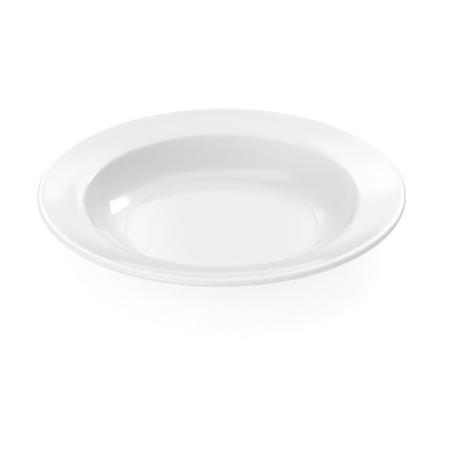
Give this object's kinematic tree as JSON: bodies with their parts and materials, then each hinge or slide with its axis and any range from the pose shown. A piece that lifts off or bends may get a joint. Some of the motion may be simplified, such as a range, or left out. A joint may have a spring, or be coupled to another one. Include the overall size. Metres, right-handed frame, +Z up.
{
  "type": "soup plate",
  "caption": "Round white glazed porcelain soup plate: a deep well with a flat floor and bowed wall, a wide gently rising rim with a rounded lip, and a bare foot ring to stand on.",
  "frame": {"origin": "centre of the foot ring's standing face, on the plate's axis, on the surface that the plate stands on", "axes": "+Z up along the plate's axis; X and Y are any two directions across it, because the plate is round"},
  "size_m": [0.22, 0.22, 0.036],
  "materials": {
    "bare_porcelain": "matte",
    "clear_glaze": "gloss"
  },
  "bodies": {
    "root": {"porcelain_body": "bare_porcelain", "glaze_coat": "clear_glaze", "base_glaze": "clear_glaze"}
  },
  "joints": []
}
